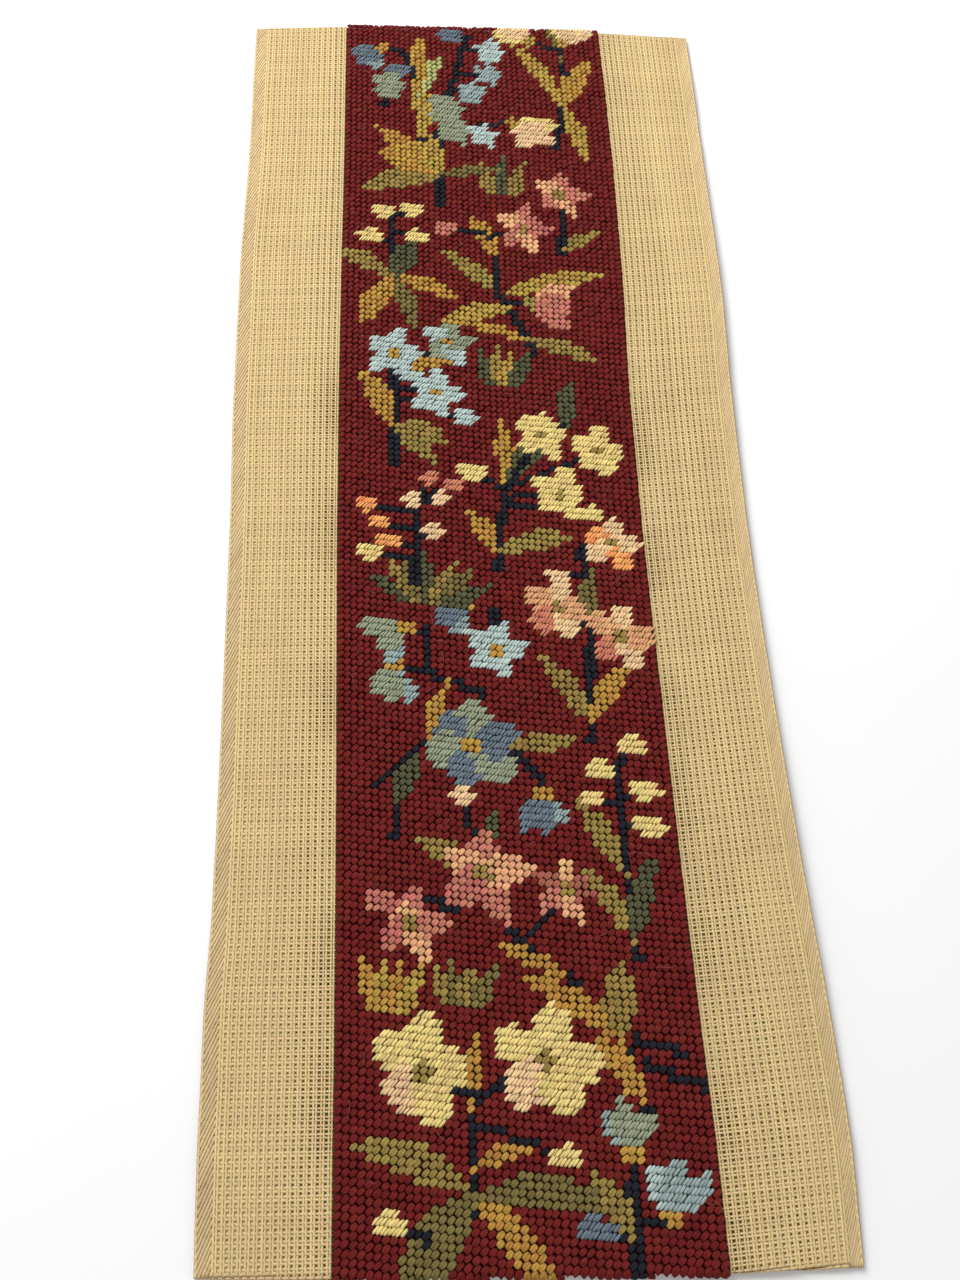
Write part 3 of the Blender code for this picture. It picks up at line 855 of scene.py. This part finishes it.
# the sprigs: ordinary flowers and leaves, each worked out by rule, on plants that grow from one foot
# places are stitch columns and rows, lengths are stitches, headings are degrees: 0 right, 90 up
leafWidths = {"slim": 2.4, "full": 3.4, "broad": 4.4, "wide": 6.0}
flowerKinds = {
    "creamBloom": {"form": "round", "reach": 6.8, "shades": ("cream", "cream", "palePeach")},
    "yellowBloom": {"form": "round", "reach": 4.4, "shades": ("cream",)},
    "peachBloom": {"form": "round", "reach": 5.0, "shades": ("palePeach", "peach", "salmon")},
    "orangeBloom": {"form": "round", "reach": 4.2, "shades": ("palePeach", "orange")},
    "greyBloom": {"form": "round", "reach": 6.8, "shades": ("greyGreen", "greyBlue"), "heart": "ochre"},
    "smallGrey": {"form": "round", "reach": 3.4, "shades": ("greyGreen",), "heart": "greyGreen"},
    "roseBloom": {"form": "pointed", "reach": 6.6, "shades": ("rose", "peach", "rose")},
    "smallRose": {"form": "pointed", "reach": 5.0, "shades": ("rose", "peach")},
    "deepRose": {"form": "pointed", "reach": 4.6, "shades": ("peach", "deepRose", "rose")},
    "blueStar": {"form": "pointed", "reach": 5.0, "shades": ("paleBlue",), "heart": "ochre"},
    "greyStar": {"form": "pointed", "reach": 5.0, "shades": ("greyGreen", "paleBlue"), "heart": "ochre"},
    "smallBlue": {"form": "pointed", "reach": 3.2, "shades": ("paleBlue",), "heart": "paleBlue"},
    "smallMist": {"form": "pointed", "reach": 3.0, "shades": ("mistBlue",), "heart": "mistBlue"},
    "blueBell": {"form": "bell", "reach": 5.8, "shades": ("greyBlue", "mistBlue"), "heart": "ochre"},
    "paleBell": {"form": "bell", "reach": 6.6, "shades": ("mistBlue", "paleBlue"), "heart": "ochre"},
    "greyBell": {"form": "bell", "reach": 6.4, "shades": ("greyGreen", "mistBlue"), "heart": "ochre"},
    "creamBell": {"form": "bell", "reach": 7.8, "shades": ("palePeach", "cream"), "heart": "gold"},
    "roseBell": {"form": "bell", "reach": 8.0, "shades": ("rose", "peach")},
    "creamBud": {"form": "bud", "reach": 4.4, "shades": ("cream",)},
    "peachBud": {"form": "bud", "reach": 3.6, "shades": ("palePeach",)},
    "orangeBud": {"form": "bud", "reach": 3.6, "shades": ("orange",)},
    "salmonBud": {"form": "bud", "reach": 3.6, "shades": ("salmon",)},
    "roseBud": {"form": "bud", "reach": 4.8, "shades": ("rose",)},
    "blueBud": {"form": "bud", "reach": 4.8, "shades": ("greyBlue",)},
    "paleBud": {"form": "bud", "reach": 4.2, "shades": ("paleBlue",)},
}
sprigRandom = np.random.default_rng(5)


def toward(spot, heading, distance):
    angle = math.radians(heading)
    return spot[0] + distance * math.cos(angle), spot[1] + distance * math.sin(angle)


def uneven(size):
    # hand work: no two petals or blades are quite the same length
    return size * sprigRandom.uniform(0.88, 1.12)


def openFlower(spot, reach, petalShades, heart, pointed, strokes):
    # petals set evenly about the heart: six in a large flower of two shades, else five
    petals = 6 if len(petalShades) == 2 and reach > 6 else 5
    for k in range(petals):
        length, heading = uneven(reach), 80 + 360 * k / petals + sprigRandom.uniform(-8, 8)
        shade = petalShades[k % len(petalShades)]
        if pointed:
            leaf(toward(spot, heading, -0.2 * reach), toward(spot, heading, length), reach * 0.7,
                 shade, 0.0, 0.5, strokes)
        else:
            oval(toward(spot, heading, length * 0.54), length * 0.96, reach * 0.8, shade, heading,
                 strokes)
    oval(spot, reach * 0.42, reach * 0.36, heart)


def bellFlower(cap, reach, bellShades, capShade, lean, strokes):
    # seen from its side: a cup that opens from its cap into three points
    for side, shade in ((-30, bellShades[0]), (30, bellShades[-1]), (0, bellShades[0])):
        leaf(cap, toward(cap, lean + side, uneven(reach)), reach * 0.48, shade, 0.0, 0.6, strokes)
    oval(toward(cap, lean, reach * 0.5), reach * 0.7, reach * 0.66, bellShades[0], lean, strokes)
    oval(cap, 2.8, 2.4, capShade)


def drawFlower(kind, spot, lean):
    flower = flowerKinds[kind]
    reach, petalShades = flower["reach"], flower["shades"]
    strokes, heart = petalShades[0] in longShades, flower.get("heart", "olive")
    if flower["form"] == "bud":
        oval(spot, uneven(reach), reach * 0.66, petalShades[0], 0.0, strokes)
    elif flower["form"] == "bell":
        bellFlower(spot, reach, petalShades, heart, lean, strokes)
    else:
        openFlower(spot, reach, petalShades, heart, flower["form"] == "pointed", strokes)


def plant(foot, heading, height, leaves=(), flowers=(), sway=0.0):
    # a stem; leaves (share of its height, heading, length, width, shade); and flowers on stalks
    # (share, heading, stalk, kind, and where it leans if not along its stalk)
    def along(share):
        middle = toward(foot, heading, height * share)
        return toward(middle, heading + 90, sway * height * math.sin(math.pi * share))

    stem([along(k / 6) for k in range(7)], 1.25)
    for share, leafHeading, length, width, shade in leaves:
        arch = 0.05 if math.cos(math.radians(leafHeading)) > 0 else -0.05
        start = along(share)
        leaf(start, toward(start, leafHeading, length), leafWidths[width], shade, arch)
    tips = [toward(along(flower[0]), flower[1], flower[2]) for flower in flowers]
    for flower, tip in zip(flowers, tips):
        stem([along(flower[0]), tip], 1.0)
    for flower, tip in zip(flowers, tips):
        drawFlower(flower[3], tip, flower[-1] if len(flower) == 5 else flower[1])


def tuft(foot, blades, height, fan, bladeShades):
    # blades that fan out from one foot; fan is the angle between the outer two
    for k in range(blades):
        side = k / (blades - 1) - 0.5
        start = (foot[0] + 0.4 * height * side, foot[1])
        heading = 90 - fan * side + sprigRandom.uniform(-6, 6)
        leaf(start, toward(start, heading, uneven(height)), 2.8, bladeShades[k % len(bladeShades)],
             0.0, 0.35)


def nearPlants():
    plant((18, 8), 90, 14, sway=0.04,
          leaves=((0.2, 235, 16, "wide", "darkOlive"), (0.2, 165, 16, "broad", "olive"),
                  (0.2, 310, 15, "broad", "ochre"), (0.2, 0, 18, "broad", "darkOlive"),
                  (0.4, 25, 9, "slim", "ochre"), (0.9, 85, 9, "slim", "ochre")),
          flowers=((1.0, 160, 7, "creamBloom"), (1.0, 30, 11, "creamBloom"),
                   (0.8, 345, 12, "creamBud")))
    plant((12, 5), 165, 3, flowers=((1.0, 165, 2, "creamBud"),))
    plant((37, -4), 90, 18,
          leaves=((0.6, 120, 9, "full", "olive"), (0.4, 235, 7, "slim", "olive"),
                  (0.3, 320, 8, "slim", "darkOlive")),
          flowers=((1.0, 80, 3, "greyBell", 96), (0.7, 18, 5, "paleBell", 78),
                   (0.6, 165, 5, "blueBud")))
    plant((40, 22), 105, 10,
          leaves=((0.9, 150, 15, "full", "ochre"), (0.9, 85, 10, "broad", "olive"),
                  (0.1, 125, 10, "full", "ochre")))
    plant((40, 28), 345, 8)
    plant((39, 31), 350, 7)


def rosePlants():
    tuft((7, 31), 4, 7, 50, ("ochre", "gold"))
    tuft((17, 33), 4, 6, 60, ("olive", "darkOlive"))
    plant((33, 37), 135, 18, sway=0.10,
          leaves=((1.0, 150, 11, "full", "olive"), (1.0, 75, 11, "slim", "darkGreen"),
                  (0.1, 160, 10, "slim", "ochre")),
          flowers=((0.9, 205, 12, "smallRose"), (0.9, 190, 15, "roseBud"), (1.0, 100, 12, "peachBud"),
                   (0.5, 50, 10, "deepRose"), (1.0, 90, 1, "roseBloom")))
    plant((41, 41), 90, 28, sway=0.03,
          leaves=((0.1, 125, 11, "full", "olive"), (0.4, 120, 12, "full", "olive"),
                  (0.1, 72, 12, "full", "darkGreen")),
          flowers=((1.0, 50, 3, "creamBud"), (0.9, 160, 3, "creamBud"), (0.75, 165, 4, "creamBud"),
                   (0.8, 20, 4, "creamBud"), (0.65, 5, 4, "creamBud")))


def bluePlants():
    plant((8, 54), 85, 5, leaves=((1.0, 65, 9, "full", "darkGreen"),))
    plant((5, 61), 45, 12, flowers=((1.0, 355, 6, "greyBloom"),))
    plant((25, 69), 320, 6, leaves=((0.0, 12, 10, "full", "olive"),),
          flowers=((1.0, 270, 2, "blueBell"),))
    plant((22, 77), 165, 11, leaves=((0.5, 250, 11, "slim", "ochre"),),
          flowers=((1.0, 180, 3, "greyBell", 265),))
    plant((14, 79), 95, 7, flowers=((1.0, 180, 3, "greyBell", 215),))
    plant((24, 84), 90, 7, flowers=((1.0, 180, 4, "blueBell", 215), (0.0, 90, 0, "blueStar")))
    plant((9, 113), 90, 18,
          leaves=((0.4, 120, 11, "broad", "ochre"), (0.4, 350, 9, "broad", "olive"),
                  (0.4, 320, 9, "full", "olive"), (1.0, 15, 10, "slim", "ochre")),
          flowers=((1.0, 90, 3, "blueStar"), (0.8, 0, 7, "blueStar"), (1.0, 35, 11, "greyStar"),
                   (0.7, 350, 12, "paleBud")))


def peachPlants():
    plant((37, 71), 88, 31, sway=-0.02,
          leaves=((0.1, 125, 12, "full", "olive"), (0.1, 55, 12, "full", "ochre"),
                  (0.6, 80, 9, "full", "darkOlive")),
          flowers=((0.6, 155, 5, "peachBloom"), (0.6, 340, 5, "peachBloom"),
                   (1.0, 15, 5, "orangeBloom"), (0.85, 180, 4, "peachBud")))
    tuft((14, 90), 7, 9, 125, ("darkGreen", "olive", "darkOlive"))
    plant((12, 93), 88, 14,
          flowers=((0.9, 180, 8, "orangeBud"), (0.7, 180, 6, "orangeBud"), (0.5, 180, 4, "orangeBud"),
                   (0.3, 175, 7, "creamBud"), (0.6, 20, 3, "peachBud"), (1.0, 150, 1, "peachBud"),
                   (1.0, 20, 4, "peachBud"), (1.0, 35, 7, "salmonBud"), (1.0, 65, 5, "salmonBud")))


def yellowPlant():
    plant((25, 97), 82, 16, sway=0.02,
          leaves=((0.2, 125, 8, "full", "ochre"), (0.2, 18, 12, "full", "olive"),
                  (0.9, 93, 12, "full", "ochre"), (1.0, 50, 12, "full", "darkGreen")),
          flowers=((0.9, 155, 6, "creamBud"), (0.7, 0, 14, "creamBud"), (0.9, 60, 12, "yellowBloom"),
                   (0.8, 10, 9, "yellowBloom"), (0.9, 28, 17, "yellowBloom")))
    plant((37, 123), 80, 2, leaves=((0.0, 80, 9, "full", "darkGreen"),))
    tuft((27, 130), 4, 8, 45, ("darkGreen", "olive", "gold"))


def leafyPlants():
    plant((9, 149), 92, 13,
          leaves=((0.0, 155, 11, "full", "olive"), (0.0, 348, 11, "full", "ochre"),
                  (0.0, 240, 12, "broad", "ochre"), (0.0, 65, 9, "broad", "darkGreen"),
                  (0.0, 290, 10, "full", "darkOlive")),
          flowers=((1.0, 155, 2, "creamBud"), (1.0, 25, 4, "creamBud"), (0.6, 175, 4, "creamBud"),
                   (0.7, 0, 4, "creamBud")))
    plant((33, 136), 115, 13,
          leaves=((0.3, 170, 11, "slim", "ochre"), (0.3, 345, 12, "full", "olive"),
                  (0.8, 200, 12, "full", "gold"), (1.0, 142, 13, "full", "olive"),
                  (1.0, 18, 18, "full", "gold")),
          flowers=((0.9, 0, 4, "roseBell"),))
    plant((27, 147), 95, 13, leaves=((0.7, 118, 9, "full", "ochre"),),
          flowers=((1.0, 175, 8, "roseBud"), (1.0, 20, 6, "smallRose")))
    plant((38, 157), 88, 10, leaves=((0.1, 35, 8, "slim", "olive"),),
          flowers=((1.0, 90, 3, "smallRose"),))
    tuft((28, 169), 3, 8, 36, ("olive", "darkGreen"))
    plant((17, 165), 90, 17,
          leaves=((0.4, 197, 14, "broad", "olive"), (0.4, 15, 11, "slim", "darkOlive"),
                  (0.4, 140, 15, "broad", "ochre"), (0.4, 160, 12, "broad", "ochre"),
                  (0.4, 108, 10, "broad", "gold")),
          flowers=((1.0, 10, 3, "smallGrey"), (1.0, 0, 8, "smallBlue"), (1.0, 15, 14, "creamBell", 330)))


def farPlants():
    plant((14, 179), 92, 11,
          leaves=((0.0, 95, 17, "full", "gold"), (0.9, 68, 11, "full", "lightGreen"),
                  (1.0, 88, 14, "full", "ochre")))
    plant((13, 193), 110, 7, flowers=((1.0, 180, 4, "blueBell", 225), (0.2, 170, 3, "blueBud")))
    plant((7, 186), 80, 5, flowers=((1.0, 90, 0, "smallGrey"),))
    plant((19, 190), 75, 15,
          flowers=((0.0, 260, 3, "smallGrey"), (0.1, 0, 4, "smallMist"), (0.4, 0, 6, "smallMist"),
                   (0.8, 0, 5, "smallBlue"), (1.0, 180, 3, "blueBud")))
    plant((38, 180), 78, 10,
          leaves=((1.0, 122, 17, "full", "gold"), (1.0, 63, 13, "broad", "ochre"),
                  (1.0, 285, 12, "full", "gold")))
    plant((41, 197), 95, 6, leaves=((0.5, 105, 11, "slim", "darkOlive"),),
          flowers=((1.0, 70, 2, "creamBell"), (1.0, 165, 6, "creamBell", 135)))


for drawPlants in (nearPlants, rosePlants, bluePlants, peachPlants, yellowPlant, leafyPlants, farPlants):
    drawPlants()
print("stitch chart: sprigs laid out over", chartRows, "rows")

# wool: places across and up a stitch's own mesh square, sizes in metres
stitch = {
    "tentStart": (0.02, 0.00), "tentEnd": (0.98, 1.00),
    "tentStations": (0.0, 0.13, 0.5, 0.87, 1.0),
    "tentLift": (0.00084, 0.00116, 0.00134, 0.00116, 0.00084),
    "tentHalf": (0.00114, 0.00128, 0.00114), "tentHeight": 0.00060, "tentSides": 5, "tentStrands": (0.0,),
    "longStart": (-0.02, -0.08), "longEnd": (1.02, 1.08),
    "longStations": (0.0, 0.09, 0.3, 0.7, 0.91, 1.0),
    "longLift": (0.00080, 0.00118, 0.00146, 0.00146, 0.00118, 0.00080),
    "longHalf": (0.00052, 0.00062, 0.00062, 0.00052), "longHeight": 0.00054, "longSides": 4,
    "longStrands": (-0.25, 0.25),   # two strands side by side
    "backStart": (1.15, 0.95), "backEnd": (-0.25, 0.05),
    "backLift": (-0.00075, -0.00115, -0.00115, -0.00075), "backHalf": 0.00075, "backHeight": 0.00055,
    "jitter": 0.055, "liftJitter": 0.00007, "plumpJitter": 0.07, "pastFold": 0.0020,
}
# how much painted shade darkens each stitch's ply grooves, flanks and ends, where it meets its
# neighbours; the ground gets less at its ends
wool = {"Turns": 0.20, "Plies": 4.0, "Unevenness": 0.16, "Painted Groove Shade": 0.50, "Painted Flank Shade": 0.45, "Painted End Shade": 0.85,
        "Hue Drift": 0.05, "relief": 0.00030, "sheen": 0.04}
groundWool = {**wool, "Painted End Shade": 0.60, "Hue Drift": 0.015}   # the ground came from one dye lot


def stitchPoints(columns, rows, start, end, stations, random):
    # flat places of every station of every stitch, with a small shift for each stitch
    share = np.array(stations)[None]
    shift = random.normal(0, stitch["jitter"], (4, len(columns), 1))
    startX, startY = columns[:, None] + start[0] + shift[0], rows[:, None] + start[1] + shift[1]
    endX, endY = columns[:, None] + end[0] + shift[2], rows[:, None] + end[1] + shift[3]
    return threadPlace(startX + (endX - startX) * share, startY + (endY - startY) * share)


def addStitches(batch, columns, rows, kind, random):
    count = len(columns)
    if not count:
        return
    for shift in stitch[kind + "Strands"]:
        x, y = stitchPoints(columns + shift, rows, stitch[kind + "Start"], stitch[kind + "End"],
                            stitch[kind + "Stations"], random)
        near, far = foldAt("nearFold", x), foldAt("farFold", x)
        y = np.clip(y, near - stitch["pastFold"], far + stitch["pastFold"])
        lift = np.array(stitch[kind + "Lift"])[None] + random.normal(0, stitch["liftJitter"], (count, 1))
        plump = random.normal(1, stitch["plumpJitter"], (count, 1))
        half = np.array(stitch[kind + "Half"])[None] * plump
        addTubes(batch, x, y, lift, half, stitch[kind + "Height"] * plump, stitch[kind + "Sides"],
                 random.uniform(0, 1, count))


middleX, middleY = threadPlace(columnMiddles, rowMiddles)
nearLine, farLine = foldAt("nearFold", middleX), foldAt("farFold", middleX)
worked = (middleY > nearLine - stitch["pastFold"]) & (middleY < farLine + stitch["pastFold"])
random = np.random.default_rng(7)
for code, name in enumerate(shadeNames):
    yarnKind = groundWool if name == "burgundy" else wool
    material = strandMaterial("wool_" + name, *shades[name], yarnKind)
    whole = worked & (chart == code)
    halves = [("", whole)]
    if name == "burgundy":
        halves = [("_near", whole & (rowMiddles < 104)), ("_far", whole & (rowMiddles >= 104))]
    for ending, area in halves:
        batch = newBatch()
        for kind, wanted in (("tent", ~longStroke), ("long", longStroke)):
            rowIndex, columnIndex = np.nonzero(area & wanted)
            addStitches(batch, columnIndex.astype(float), rowIndex + float(mesh["lowRow"]), kind, random)
        if batch["itemCount"]:
            makePiece("wool_" + name + ending, batch, material)
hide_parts("wool_face")


def makeBack():
    batch = newBatch()
    rowIndex, columnIndex = np.nonzero(worked)
    columns, rows = columnIndex.astype(float), rowIndex + float(mesh["lowRow"])
    x, y = stitchPoints(columns, rows, stitch["backStart"], stitch["backEnd"], (0, 0.2, 0.8, 1), random)
    lift = np.array(stitch["backLift"])[None] + 0 * x
    keep = (y > foldAt("nearFold", x)).all(1) & (y < foldAt("farFold", x)).all(1)
    addTubes(batch, x[keep], y[keep], lift[keep], stitch["backHalf"], stitch["backHeight"], 3,
             random.uniform(0, 1, keep.sum()), math.pi / 2)
    piece = makePiece("wool_reverse", batch, bpy.data.materials["wool_burgundy"])
    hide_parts("wool_back")
    return piece


makeBack()
print("wool back made")

# loose fibres standing off the wool
# the fibres' colour, and a darker copy painted as shade on their flanks, ends and ply grooves
fuzz = {"count": 150, "length": (0.003, 0.009), "half": 0.00004, "lift": (0.0019, 0.0030),
        "color": (168, 112, 104), "paintedShade": (110, 66, 60)}


def makeFuzz():
    batch = newBatch()
    random = np.random.default_rng(31)
    count = fuzz["count"]
    columns, rows = random.uniform(0.5, 47, (count, 1)), random.uniform(4, 203, (count, 1))
    share = np.linspace(0, 1, 7)[None]
    heading = random.uniform(0, 2 * math.pi, (count, 1)) + random.normal(0, 1.0, (count, 1)) * share
    size = random.uniform(*fuzz["length"], (count, 1)) / mesh["rowPitch"]
    columns = columns + np.cumsum(np.cos(heading), 1) * size / 7
    rows = rows + np.cumsum(np.sin(heading), 1) * size / 7
    x, y = threadPlace(np.clip(columns, 0.2, 47.8), rows)
    top = random.uniform(*fuzz["lift"], (count, 1))
    lift = 0.0018 + (top - 0.0018) * np.sin(math.pi * share)
    addTubes(batch, x, y, lift, fuzz["half"], fuzz["half"], 3, random.uniform(0, 1, count))
    material = strandMaterial("woolFuzz", fuzz["color"], fuzz["paintedShade"], {**wool, "relief": 0.00001})
    return makePiece("loose_fibres", batch, material, 4.0)


makeFuzz()


# floor, light and camera
studio = {
    "floorHalf": 1.6, "floorColor": (232, 232, 232),
    "lens": 31.73, "sensor": 36.0,
    "eye": (-0.01310, 0.06034, 0.39764),
    "right": (0.99938681, -0.03497205, -0.00171937),
    "up": (0.03332644, 0.9350022, 0.35307256),
    "back": (-0.01074006, -0.35291336, 0.93559436),
    "skyColor": (1.0, 1.0, 1.0), "skyStrength": 0.62,
    "windowSpot": (-0.50, 0.80, 0.95), "windowSize": 0.8, "windowPower": 22.0,
}


def makeFloor():
    half = studio["floorHalf"]
    data = bpy.data.meshes.new("floor")
    corners = [(-half, -half, 0), (half, -half, 0), (half, half, 0), (-half, half, 0)]
    data.from_pydata(corners, [], [(0, 1, 2, 3)])
    material, tree, shader = newMaterial("paleFloor", 0.0)
    place3d = addNode(tree, "ShaderNodeTexCoord")
    grain = noiseNode(tree, place3d.outputs["Object"], 6.0, 3.0, 0.5)
    tint = linear(*studio["floorColor"])
    darker = tuple(c * 0.94 for c in tint[:3]) + (1.0,)
    feed(tree, shader.inputs["Base Color"], mixColor(tree, grain, tint, darker))
    shader.inputs["Roughness"].default_value = 0.7
    data.materials.append(material)
    floor = bpy.data.objects.new("floor", data)
    bpy.context.scene.collection.objects.link(floor)


def makeLights():
    world = bpy.data.worlds.new("studio")
    world.use_nodes = True
    world.node_tree.nodes["Background"].inputs[0].default_value = (*studio["skyColor"], 1)
    world.node_tree.nodes["Background"].inputs[1].default_value = studio["skyStrength"]
    bpy.context.scene.world = world
    bpy.context.scene.view_settings.view_transform = "Standard"   # plain screen colours, as seen
    light = bpy.data.lights.new("window", "AREA")
    light.size, light.energy = studio["windowSize"], studio["windowPower"]
    lamp = bpy.data.objects.new("window", light)
    lamp.location = studio["windowSpot"]
    lamp.rotation_euler = (-Vector(studio["windowSpot"])).to_track_quat("-Z", "Y").to_euler()
    bpy.context.scene.collection.objects.link(lamp)


def makeCamera():
    data = bpy.data.cameras.new("camera")
    data.lens, data.sensor_width, data.sensor_fit = studio["lens"], studio["sensor"], "AUTO"
    data.clip_start, data.clip_end = 0.01, 20
    camera = bpy.data.objects.new("camera", data)
    eye = Vector(studio["eye"]) - Vector((shiftX, shiftY, 0))
    turned = Matrix([studio["right"], studio["up"], studio["back"]]).transposed()
    camera.matrix_world = Matrix.Translation(eye) @ turned.to_4x4()
    bpy.context.scene.collection.objects.link(camera)
    bpy.context.scene.camera = camera


makeFloor()
makeLights()
makeCamera()
print("floor, light and camera set")
